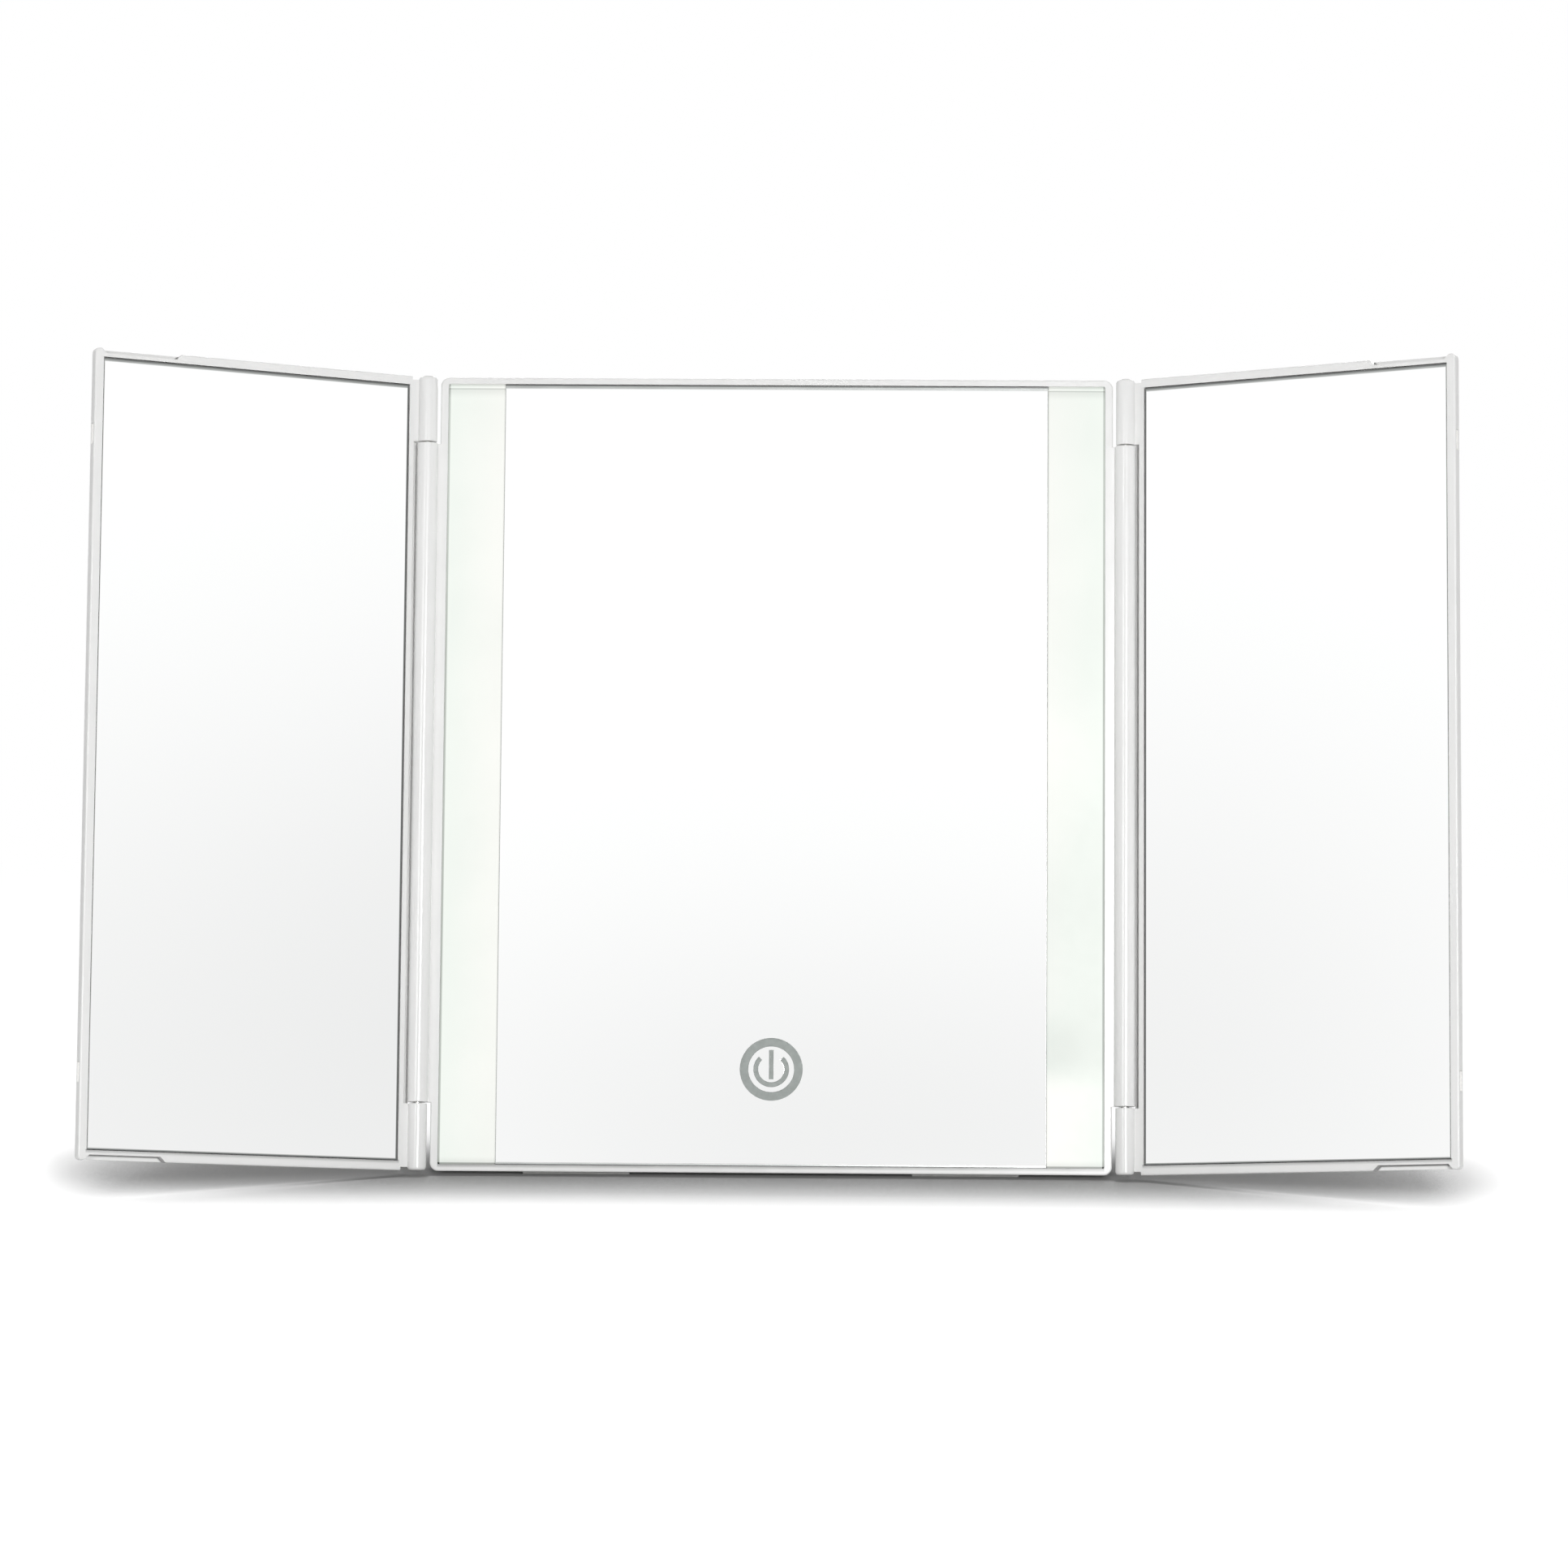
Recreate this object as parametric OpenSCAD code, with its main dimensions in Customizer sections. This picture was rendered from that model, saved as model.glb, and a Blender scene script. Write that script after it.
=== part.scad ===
// Trifold vanity mirror with a lit centre panel, two folding wings and a rear kickstand.
// Millimetres, +Z up. The mirrors face -Y and the viewer's right is +X.
// The origin is on the table, in the middle of the footprint at rest.
// At rest the panel leans back on its open kickstand and both wings are folded forward.

/* [Overall] */
// height of all three panels
panel_height = 240; // [200:1:280]
// width of the centre panel
center_width = 203; // [180:1:230]
// thickness of the centre panel
center_depth = 12; // [11.5:0.1:14]
// angle that the centre panel leans back at rest
lean = 15; // [12:0.5:18]
// angle that each wing is folded forward at rest
wing_fold = 25.4; // [0:0.1:60]
// radius of the centre panel's outer corners
corner_radius = 2.6; // [2:0.1:4]
// radius of the softened outer edges
edge_soft = 0.5; // [0.3:0.05:0.8]

/* [Centre panel front] */
// width of the bezel at the left and right
bezel_side = 2.3; // [2:0.1:3]
// width of the bezel at the top
bezel_top = 1.95; // [1.6:0.05:3]
// width of the bezel at the bottom
bezel_bottom = 2.05; // [1.6:0.05:3]
// width of the mirror between the two light windows
mirror_width = 164; // [150:1:180]
// how far the mirrors lie below the bezel
mirror_recess = 0.4; // [0.2:0.05:0.6]
// how far the light windows lie below the bezel
window_recess = 0.7; // [0.5:0.05:0.9]
// thickness of the mirror glass
glass_thickness = 1.8; // [1.5:0.1:1.9]
// thickness of the adhesive sheets behind the mirrors
adhesive_thickness = 0.4; // [0.3:0.05:0.6]
// height of the touch icon's centre above the bottom edge
icon_height = 31; // [25:0.5:40]

/* [Hinges] */
// distance of each hinge axis from the centre panel's side
hinge_offset = 3.8; // [3.6:0.1:4.5]
// distance of each hinge axis in front of the bezel's face
hinge_forward = 0.6; // [0.3:0.1:1]
// radius of the long middle barrel of the centre panel
barrel_radius = 3.15; // [2.9:0.05:3.3]
// radius of the end knuckles of the wings
knuckle_radius = 2.85; // [2.6:0.05:3.1]
// length of each end knuckle
knuckle_length = 20; // [15:1:30]
// gap between a knuckle and the barrel
knuckle_gap = 0.4; // [0.3:0.05:0.6]
// radius of the steel hinge pins
pin_radius = 1.2; // [1:0.05:1.3]

/* [Wings] */
// distance of a wing's outer edge from its hinge axis
wing_reach = 104.9; // [100:0.1:105]
// distance of a wing's inner edge from its hinge axis
wing_inner = 3.9; // [3.8:0.05:4.2]
// thickness of a wing
wing_depth = 4.4; // [4.2:0.1:5]
// thickness of a wing's back shell
wing_shell = 1.5; // [1.2:0.1:1.6]
// distance from the hinge axis to the back shell's lip, which covers the gap beside the barrel
wing_lip = 1.8; // [1.6:0.1:3.8]
// width of a wing's bezel at the top
wing_bezel_top = 2.6; // [2.2:0.1:3.4]
// width of a wing's bezel at the bottom
wing_bezel_bottom = 2.9; // [2.2:0.1:3.4]
// width of a wing's bezel at the outer side
wing_bezel_outer = 2.6; // [2.2:0.1:3.4]
// width of a wing's bezel at the hinge side
wing_bezel_inner = 1.8; // [1.6:0.1:2.4]
// radius of a wing's outer corners
wing_corner = 1.2; // [0.8:0.1:3]
// how far the back shell stays inside the front frame's outline
shell_inset = 0.2; // [0.1:0.05:0.4]
// depth of the finger recesses in a wing's top and bottom edges
recess_height = 1.6; // [1:0.1:2]
// length of each finger recess
recess_length = 24.9; // [15:0.1:40]
// distance of the finger recesses from a wing's outer edge
recess_offset = 1.9; // [1.6:0.1:5]

/* [Kickstand] */
// height of the kickstand's pivot above the bottom edge
pivot_height = 134; // [128:1:140]
// angle of the open kickstand from the vertical
leg_angle = 8; // [6:0.5:10]
// width of the kickstand
leg_width = 72; // [50:1:80]
// thickness of the kickstand
leg_thickness = 3.2; // [2.8:0.1:3.2]
// height of the rubber feet below the panel
foot_height = 1.4; // [1.3:0.1:2.5]

/* [Electronics] */
// number of light emitting chips on each strip
led_count = 22; // [12:1:26]
// height of the charging socket above the bottom edge
socket_height = 26; // [20:1:40]

/* [Hidden] */
$fn = 96;
eps = 0.01;
half_width = center_width / 2;
hinge_x = half_width + hinge_offset;
mirror_half = mirror_width / 2;
pane_floor = mirror_recess + glass_thickness + adhesive_thickness;
opening_half = half_width - bezel_side;
opening_low = bezel_bottom;
opening_high = panel_height - bezel_top;
pane_gap = 0.1;
seat_corner = 0.5;
cover_seat = center_depth - 1.8;
wall = 1.8;
bay_low = 8;
bay_high = panel_height - 5;
bay_half = mirror_half - 1.5;
bay_floor = pane_floor + 1.6;
light_in = mirror_half + 1.2;
light_out = opening_half - 1;
light_floor = cover_seat - 1.2;
barrel_low = knuckle_length + knuckle_gap;
barrel_high = panel_height - barrel_low;
sleeve_radius = 2;
sleeve_length = 14;
pin_reach = 15.5;
pin_bore = pin_reach + 1.5;
leg_v = center_depth - leg_thickness / 2;
recess_floor = center_depth - leg_thickness - 0.1;
heel = 4;
leg_turn = lean + leg_angle;
heel_floor = leg_v - leg_thickness / 2 * cos(leg_turn) - heel * sin(leg_turn) - 0.02;
pan_wall = 1.2;
pan_half = leg_width / 2 + 0.3;
pivot_z = pivot_height * cos(lean) - leg_v * sin(lean) + foot_height;
leg_length = pivot_z / cos(leg_angle);
stand_pin = 0.8;
led_pitch = (panel_height - 40) / led_count;
// the part is moved so that its box is centred on the origin in Y
front_y = -(wing_reach - 0.34 - 0.446 * wing_corner) * sin(wing_fold) * cos(lean);
back_y = (panel_height - 0.85) * sin(lean) + center_depth * cos(lean);
shift_y = -(front_y + back_y) / 2;
board_v = 5.2;
lead_v = light_floor - 1.52;
board_u = 44.5;
board_w = 16;
screw_u = 74;
screw_heights = [15, panel_height / 2 + 1, panel_height - 13];
foot_u = 42;
foot_length = 32;
foot_v = 3.5;
foot_width = 6;

// ---- frames of reference -------------------------------------------------------------------

// Panel space: X right, Y depth behind the bezel's face, Z up along the panel.
module panel_space() translate([0, shift_y, foot_height]) rotate([-lean, 0, 0]) children();

// Wing space of the right wing: X out from the hinge axis, Y depth behind the wing's face.
module right_wing_space() panel_space() translate([hinge_x, -hinge_forward, 0])
  rotate([0, 0, -wing_fold]) translate([0, hinge_forward, 0]) children();

// Leg space: X right, Y through the leg's thickness, Z up along the leg, pivot at the origin.
module leg_space() panel_space() translate([0, leg_v, pivot_height])
  rotate([leg_turn, 0, 0]) children();

// The left wing's pieces are the right wing's pieces mirrored.
module left_side() mirror([1, 0, 0]) children();

// ---- shared shapes -------------------------------------------------------------------------

// Extrudes a flat shape drawn in X and Z from depth a to depth b.
module slab(a, b) translate([0, b, 0]) rotate([90, 0, 0]) linear_extrude(height = b - a) children();

module rect(x0, x1, z0, z1) translate([x0, z0]) square([x1 - x0, z1 - z0]);

// Rectangle with rounded corners: ra at the low X side and rb at the high X side.
module round_rect(x0, x1, z0, z1, ra, rb) {
  rect(x0 + ra, x1 - rb, z0, z1);
  rect(x0, x0 + ra + eps, z0 + ra, z1 - ra);
  rect(x1 - rb - eps, x1, z0 + rb, z1 - rb);
  for (z = [z0 + ra, z1 - ra]) translate([x0 + ra, z]) circle(r = ra);
  for (z = [z0 + rb, z1 - rb]) translate([x1 - rb, z]) circle(r = rb);
}

// Section of the material taken off a softened edge; the edge is at the origin.
module soft_section(e) {
  d = 0.12 * e;
  difference() {
    translate([-1, -1]) square([1 + e, 1 + e]);
    translate([e + d, e + d]) circle(r = sqrt((e + d) * (e + d) + d * d), $fn = 48);
  }
}

// Takes the edge off the front face of a rounded plate, all the way round.
module soft_edges(x0, x1, z0, z1, ra, rb, e) {
  translate([x0, 0, z0 + ra]) linear_extrude(height = z1 - z0 - 2 * ra) soft_section(e);
  translate([x1, 0, z0 + rb]) mirror([1, 0, 0])
    linear_extrude(height = z1 - z0 - 2 * rb) soft_section(e);
  for (top = [0, 1]) translate([x1 - rb, 0, top ? z1 : z0]) mirror([0, 0, top])
    rotate([0, -90, 0]) linear_extrude(height = x1 - rb - x0 - ra) soft_section(e);
  for (c = [[x1 - rb, z0 + rb, rb, 0], [x0 + ra, z0 + ra, ra, 90],
            [x0 + ra, z1 - ra, ra, 180], [x1 - rb, z1 - rb, rb, 270]])
    translate([c[0], 0, c[1]]) rotate([-90, 0, 0]) rotate([0, 0, c[3]])
      rotate_extrude(angle = 90) translate([c[2], 0]) mirror([1, 0]) soft_section(e);
}

// The same for a back face at depth d.
module soft_back(d, x0, x1, z0, z1, ra, rb, e)
  translate([0, d, 0]) mirror([0, 1, 0]) soft_edges(x0, x1, z0, z1, ra, rb, e);

// Upright round bar from z0 to z1 whose lower and upper ends are broken by b0 and b1.
module knuckle(r, z0, z1, b0, b1) rotate_extrude() polygon([
  [0, z0], [r - b0, z0], [r - 0.3 * b0, z0 + 0.35 * b0], [r, z0 + b0],
  [r, z1 - b1], [r - 0.3 * b1, z1 - 0.35 * b1], [r - b1, z1], [0, z1]]);

// Round bar from point p to point q.
module rod(p, q, r) {
  d = q - p;
  translate(p) rotate([0, acos(d[2] / norm(d)), atan2(d[1], d[0])]) cylinder(r = r, h = norm(d));
}

// Wire along a list of points, rounded at each bend.
module wire(points, r) for (i = [1 : len(points) - 1]) {
  rod(points[i - 1], points[i], r);
  if (i < len(points) - 1) translate(points[i]) sphere(r = r);
}

// ---- centre panel --------------------------------------------------------------------------

// Housing: bezel, side walls, light troughs, bay for the electronics and both hinge barrels.
module center_frame() color("White") panel_space() difference() {
  union() {
    difference() {
      slab(0, center_depth) round_rect(-half_width, half_width, 0, panel_height,
                                       corner_radius, corner_radius);
      soft_edges(-half_width, half_width, 0, panel_height, corner_radius, corner_radius, edge_soft);
      soft_back(center_depth, -half_width, half_width, 0, panel_height,
                corner_radius, corner_radius, 0.9);
      // electronics bay, closed by the back cover
      slab(bay_floor, center_depth + 1) rect(-bay_half, bay_half, bay_low, bay_high);
    }
    // posts for the cover's screws and for the control board
    for (x = [-screw_u, screw_u], z = screw_heights)
      rod([x, bay_floor - eps, z], [x, cover_seat, z], 3);
    for (x = [board_u + 4, board_u + 20])
      rod([x, bay_floor - eps, board_w + 34], [x, board_v, board_w + 34], 2.2);
    // middle barrels of the two hinges with their webs
    for (s = [-1, 1]) {
      translate([s * hinge_x, -hinge_forward, 0])
        knuckle(barrel_radius, barrel_low, barrel_high, 0.35, 0.35);
      slab(0, 2.4) translate([s * (hinge_x + half_width - 1) / 2, (barrel_low + barrel_high) / 2])
        square([hinge_offset + 1, barrel_high - barrel_low - 0.2], center = true);
    }
  }
  // seat of the mirror and of the light windows
  slab(-1, pane_floor)
    round_rect(-opening_half, opening_half, opening_low, opening_high, seat_corner, seat_corner);
  // light troughs behind the windows
  for (s = [-1, 1]) slab(pane_floor - 1, light_floor)
    rect(min(s * light_in, s * light_out), max(s * light_in, s * light_out), 6, panel_height - 6);
  // seat of the back cover
  slab(cover_seat, center_depth + 1) round_rect(-half_width + wall, half_width - wall, 5.2,
                                                panel_height - wall, 1.6, 1.6);
  // the bottom is cut parallel to the table
  rotate([lean, 0, 0]) translate([-150, -10, -20]) cube([300, 40, 20]);
  // notch for the lower end of the folded kickstand
  slab(recess_floor, center_depth + 1) rect(-pan_half, pan_half, -5, bay_low + 1);
  // hole behind the touch icon
  slab(pane_floor - 1, bay_floor + 1) translate([0, icon_height]) circle(r = 13.5);
  // passages for the light leads
  for (s = [-1, 1]) rod([s * (bay_half - 1), 7.4, s < 0 ? 71 : 41],
                        [s * (light_in + 1), 7.4, s < 0 ? 71 : 41], 1.6);
  // screw holes
  for (x = [-screw_u, screw_u], z = screw_heights) rod([x, 6.2, z], [x, cover_seat + 1, z], 1);
  for (x = [board_u + 4, board_u + 20])
    rod([x, 3.2, board_w + 34], [x, board_v + 1, board_w + 34], 0.65);
  // pockets of the front feet
  rotate([lean, 0, 0]) for (x = [-foot_u - foot_length, foot_u])
    translate([x, foot_v, -1]) cube([foot_length, foot_width, 1.8]);
  // bores for the hinge pins and their sleeves
  for (s = [-1, 1], z = [barrel_low - 1, barrel_high + 1 - pin_bore])
    translate([s * hinge_x, -hinge_forward, z]) cylinder(r = sleeve_radius + 0.02, h = pin_bore);
}

// Back cover with the recess of the kickstand and the two blocks that hold its pins.
module back_cover() color("White") panel_space() difference() {
  union() {
    slab(cover_seat, center_depth) round_rect(-half_width + wall + 0.1, half_width - wall - 0.1,
                                              5.3, panel_height - wall - 0.1, 1.5, 1.5);
    slab(recess_floor - pan_wall, cover_seat + eps)
      rect(-pan_half - pan_wall, pan_half + pan_wall, bay_low + 0.1, pivot_height + 4.8 + pan_wall);
    slab(heel_floor - pan_wall, cover_seat + eps) rect(-pan_half - pan_wall, pan_half + pan_wall,
      pivot_height - 0.6 - pan_wall, pivot_height + 4.8 + pan_wall);
    slab(leg_v - 2.4, cover_seat + eps) rect(-pan_half - 7.5, pan_half + 7.5,
                                             pivot_height - 3.5, pivot_height + 3.5);
  }
  // recess of the folded kickstand and the deeper pocket that stops its heel
  slab(recess_floor, center_depth + 1) rect(-pan_half, pan_half, 0, pivot_height + 4.8);
  slab(heel_floor, center_depth) rect(-pan_half, pan_half, pivot_height - 0.6, pivot_height + 4.8);
  // bores of the kickstand's pins
  rod([-pan_half - 6.2, leg_v, pivot_height], [pan_half + 6.2, leg_v, pivot_height], stand_pin + 0.04);
  // opening for the charging socket
  slab(cover_seat - 1, center_depth + 1)
    round_rect(board_u + 7.2, board_u + 16.8, socket_height - 1.85, socket_height + 1.85, 1.8, 1.8);
  // countersunk holes of the cover's screws
  for (x = [-screw_u, screw_u], z = screw_heights) {
    rod([x, cover_seat - 1, z], [x, center_depth + 1, z], 1.15);
    translate([x, center_depth - 1.05, z]) rotate([-90, 0, 0]) cylinder(r1 = 1.15, r2 = 2.2, h = 1.06);
  }
}

// Mirror glass of the centre panel, with the shallow seat of the touch icon.
module center_mirror() color("Silver") panel_space() difference() {
  slab(mirror_recess, mirror_recess + glass_thickness)
    rect(-mirror_half, mirror_half, opening_low + pane_gap, opening_high - pane_gap);
  slab(mirror_recess - 1, mirror_recess + 0.25) icon_shape();
}

// Ring, open arc and bar of the touch icon.
module icon_shape() translate([0, icon_height]) {
  difference() { circle(r = 9.33); circle(r = 6.89); }
  difference() {
    circle(r = 5.28);
    circle(r = 3.94);
    polygon([[0, 0], [9 * sin(44.5), 9 * cos(44.5)], [0, 15], [-9 * sin(44.5), 9 * cos(44.5)]]);
  }
  rect(-0.63, 0.63, -2.95, 5.8);
}

module touch_icon() color("DarkGray") panel_space()
  slab(mirror_recess, mirror_recess + 0.25) icon_shape();

module center_adhesive() color("Gray") panel_space() difference() {
  slab(pane_floor - adhesive_thickness, pane_floor) rect(-mirror_half + 4, mirror_half - 4,
                                                         opening_low + 5, opening_high - 5);
  slab(0, pane_floor + 1) translate([0, icon_height]) circle(r = 13);
}

// Frosted windows over the light troughs, on the viewer's left and right.
module light_window() color("Honeydew") slab(window_recess, pane_floor)
  round_rect(mirror_half + pane_gap, opening_half - pane_gap, opening_low + pane_gap,
             opening_high - pane_gap, pane_gap, seat_corner - pane_gap);
module right_light_window() panel_space() light_window();
module left_light_window() panel_space() left_side() light_window();

// Light strips: a narrow board on the floor of each trough and its row of chips.
module led_board() color("WhiteSmoke") slab(light_floor - 1, light_floor)
  rect(light_in + 3, light_out - 3, 18, panel_height - 18);
module right_led_board() panel_space() led_board();
module left_led_board() panel_space() left_side() led_board();

module led_row() color("Khaki") for (i = [0 : led_count - 1])
  translate([(light_in + light_out) / 2 - 1.4, light_floor - 1.8, 20 + led_pitch * (i + 0.5) - 1.75])
    cube([2.8, 0.8, 3.5]);
module right_leds() panel_space() led_row();
module left_leds() panel_space() left_side() led_row();

// Leads from each light strip to the control board.
module right_led_leads() color("IndianRed") panel_space() for (i = [0, 1]) let (z = 40.4 + 1.2 * i)
  wire([[light_in + 4, lead_v, z], [76, lead_v, z], [76, board_v + 0.5, z],
        [board_u + 24, board_v + 0.5, z]], 0.5);
module left_led_leads() color("IndianRed") panel_space() for (i = [0, 1]) let (z = 70.4 + 1.2 * i)
  wire([[-light_in - 4, lead_v, z], [-76, lead_v, z], [-76, board_v + 0.5, z],
        [-66 + 1.5 * i, board_v + 0.5, z], [-66 + 1.5 * i, board_v + 0.5, 48 + 1.5 * i],
        [board_u, board_v + 0.5, 48 + 1.5 * i]], 0.5);

// Sensor disc behind the touch icon and its flat lead.
module touch_sensor() color("Goldenrod") panel_space() translate([0, pane_floor + 0.6, icon_height])
  rotate([90, 0, 0]) cylinder(r = 12.5, h = 1);
module touch_lead() color("Orange") panel_space() translate([0, 0, icon_height - 2]) {
  translate([8, pane_floor + 0.6, 0]) cube([0.3, 1.4, 4]);
  translate([8, pane_floor + 1.9, 0]) cube([board_u - 6, 0.3, 4]);
  translate([board_u + 1.5, pane_floor + 1.9, 0]) cube([0.5, board_v - pane_floor - 1.9, 4]);
}

// Control board with its chips, its two screws and the charging socket.
module control_board() color("SeaGreen") panel_space() difference() {
  slab(board_v, board_v + 1) rect(board_u, board_u + 24, board_w, board_w + 38);
  for (x = [board_u + 4, board_u + 20])
    rod([x, board_v - 1, board_w + 34], [x, board_v + 2, board_w + 34], 0.9);
}
module board_chips() color("DimGray") panel_space() for (c = [
    [9, 20, 5, 5, 1.2], [16, 21, 4, 4, 2], [4, 22, 3, 3, 1], [17.5, 28, 2, 1.2, 0.8],
    [11, 28, 3, 1.6, 0.9], [4, 12, 2, 3, 1.1], [18, 14, 2, 3, 1.1], [11, 15, 4, 2.4, 1]])
  translate([board_u + c[0], board_v + 1, board_w + c[1]]) cube([c[2], c[4], c[3]]);
module board_screws() color("LightGray") panel_space() for (x = [board_u + 4, board_u + 20]) {
  rod([x, 3.4, board_w + 34], [x, board_v + 1, board_w + 34], 0.62);
  difference() {
    rod([x, board_v + 1, board_w + 34], [x, board_v + 2, board_w + 34], 1.5);
    translate([x - 1, board_v + 1.5, board_w + 33.8]) cube([2, 1, 0.4]);
  }
}
module charging_shell() color("Silver") panel_space() difference() {
  slab(board_v + 1, center_depth) round_rect(board_u + 7.5, board_u + 16.5,
    socket_height - 1.63, socket_height + 1.63, 1.6, 1.6);
  slab(board_v + 1.6, center_depth + 1) round_rect(board_u + 7.8, board_u + 16.2,
    socket_height - 1.33, socket_height + 1.33, 1.3, 1.3);
}
module charging_tongue() color("Black") panel_space() slab(board_v + 1.6, center_depth - 1)
  rect(board_u + 8.7, board_u + 15.3, socket_height - 0.35, socket_height + 0.35);

module battery() color("SlateGray") panel_space() slab(4.3, 9.3)
  round_rect(-30, 30, 150, 214, 1.5, 1.5);
module battery_leads() color("Firebrick") panel_space() for (i = [0, 1]) wire([
  [20 + 3 * i, board_v + 0.5, 150], [20 + 3 * i, board_v + 0.5, 146 + 2 * i],
  [50 + 3 * i, board_v + 0.5, 146 + 2 * i], [50 + 3 * i, board_v + 0.5, board_w + 38]], 0.5);

// Countersunk screws of the back cover, each with a cross in its head.
module cover_screws() color("LightGray") panel_space() for (x = [-screw_u, screw_u], z = screw_heights)
  translate([x, center_depth - 0.05, z]) rotate([90, 0, 0]) difference() {
    union() {
      cylinder(r1 = 2.05, r2 = 0.95, h = 1.1);
      cylinder(r = 0.95, h = 5.5);
    }
    translate([-1.2, -0.2, -1]) cube([2.4, 0.4, 1.6]);
    translate([-0.2, -1.2, -1]) cube([0.4, 2.4, 1.6]);
  }

// Rubber feet under the front of the panel; their lower faces lie on the table.
module front_feet() color("Gainsboro") panel_space() rotate([lean, 0, 0])
  for (x = [-foot_u - foot_length, foot_u]) translate([x + 0.05, foot_v + 0.05, -foot_height])
    cube([foot_length - 0.1, foot_width - 0.1, foot_height + 0.8]);

// Friction sleeves in the ends of each middle barrel.
module hinge_sleeves() color("Tan") for (z = [barrel_low + 0.8, barrel_high - 0.8 - sleeve_length])
  translate([hinge_x, -hinge_forward, z]) difference() {
    cylinder(r = sleeve_radius, h = sleeve_length);
    translate([0, 0, -1]) cylinder(r = pin_radius + 0.05, h = sleeve_length + 2);
  }
module right_hinge_sleeves() panel_space() hinge_sleeves();
module left_hinge_sleeves() panel_space() left_side() hinge_sleeves();

// ---- wings, drawn as the right wing ---------------------------------------------------------

// Ramped cut of a finger recess in the top edge.
module recess_cut() slab(-1, wing_depth - wing_shell) {
  x1 = wing_reach - recess_offset;
  x0 = x1 - recess_length;
  polygon([[x0 - 1, panel_height + 1], [x0 + recess_height, panel_height - recess_height],
           [x1 - recess_height, panel_height - recess_height], [x1 + 1, panel_height + 1]]);
}

// Front frame of a wing with its two end knuckles.
module wing_frame() color("White") difference() {
  union() {
    difference() {
      slab(0, wing_depth - wing_shell)
        round_rect(wing_inner, wing_reach, 0, panel_height, 0.8, wing_corner);
      soft_edges(wing_inner, wing_reach, 0, panel_height, 0.8, wing_corner, edge_soft);
      recess_cut();
      translate([0, 0, panel_height]) mirror([0, 0, 1]) recess_cut();
      // small steps beside the end knuckles
      for (z = [-1, panel_height - 1.1]) translate([0, -1, z]) cube([wing_inner + 1, 9, 2.1]);
    }
    for (top = [0, 1]) translate([0, 0, top * panel_height]) mirror([0, 0, top]) {
      translate([0, -hinge_forward, 0]) knuckle(knuckle_radius, 0, knuckle_length, 1, 0.2);
      slab(0, 2.2) rect(0, wing_inner + 1.5, 1.1, knuckle_length - 0.1);
    }
  }
  slab(-1, wing_depth) rect(wing_inner + wing_bezel_inner, wing_reach - wing_bezel_outer,
                            wing_bezel_bottom, panel_height - wing_bezel_top);
  // pockets of the closing magnets in the outer side
  for (z = [25.6, panel_height - 25.6]) translate([wing_reach - 1.6, 0.7, z - 3]) cube([5, 2, 6]);
  // bores of the hinge pins
  for (z = [3, panel_height - 3 - knuckle_length]) translate([0, -hinge_forward, z])
    cylinder(r = pin_radius + 0.02, h = knuckle_length);
}

// Back shell of a wing, with a raised field that locates it in the front frame and a lip that
// reaches behind the middle barrel.
module wing_back() color("White") {
  difference() {
    slab(wing_depth - wing_shell, wing_depth) round_rect(wing_lip, wing_reach - shell_inset,
      shell_inset, panel_height - shell_inset, 0.8, wing_corner);
    soft_back(wing_depth, wing_lip, wing_reach - shell_inset, shell_inset,
              panel_height - shell_inset, 0.8, wing_corner, 0.7);
    for (z = [-1, panel_height - 1.1]) translate([0, 0, z]) cube([wing_inner + 1, 9, 2.1]);
  }
  slab(pane_floor, wing_depth - wing_shell + eps)
    rect(wing_inner + wing_bezel_inner + 0.15, wing_reach - wing_bezel_outer - 0.15,
         wing_bezel_bottom + 0.15, panel_height - wing_bezel_top - 0.15);
}

module wing_mirror() color("Silver") slab(mirror_recess, mirror_recess + glass_thickness)
  rect(wing_inner + wing_bezel_inner + 0.15, wing_reach - wing_bezel_outer - 0.15,
       wing_bezel_bottom + 0.15, panel_height - wing_bezel_top - 0.15);

module wing_adhesive() color("Gray") slab(pane_floor - adhesive_thickness, pane_floor)
  rect(wing_inner + 7, wing_reach - 8, 9, panel_height - 9);

module wing_magnets() color("Silver") for (z = [25.6, panel_height - 25.6])
  translate([wing_reach - 1.55, 0.75, z - 2.95]) cube([1.5, 1.9, 5.9]);

module hinge_pins() color("Silver") for (top = [0, 1])
  translate([0, -hinge_forward, top * panel_height]) mirror([0, 0, top]) translate([0, 0, 3.05])
    cylinder(r = pin_radius, h = knuckle_length - 3.05 + pin_reach);

module right_wing_frame() right_wing_space() wing_frame();
module right_wing_back() right_wing_space() wing_back();
module right_wing_mirror() right_wing_space() wing_mirror();
module right_wing_adhesive() right_wing_space() wing_adhesive();
module right_wing_magnets() right_wing_space() wing_magnets();
module right_hinge_pins() right_wing_space() hinge_pins();
module left_wing_frame() left_side() right_wing_frame();
module left_wing_back() left_side() right_wing_back();
module left_wing_mirror() left_side() right_wing_mirror();
module left_wing_adhesive() left_side() right_wing_adhesive();
module left_wing_magnets() left_side() right_wing_magnets();
module left_hinge_pins() left_side() right_hinge_pins();

// ---- kickstand -----------------------------------------------------------------------------

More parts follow.
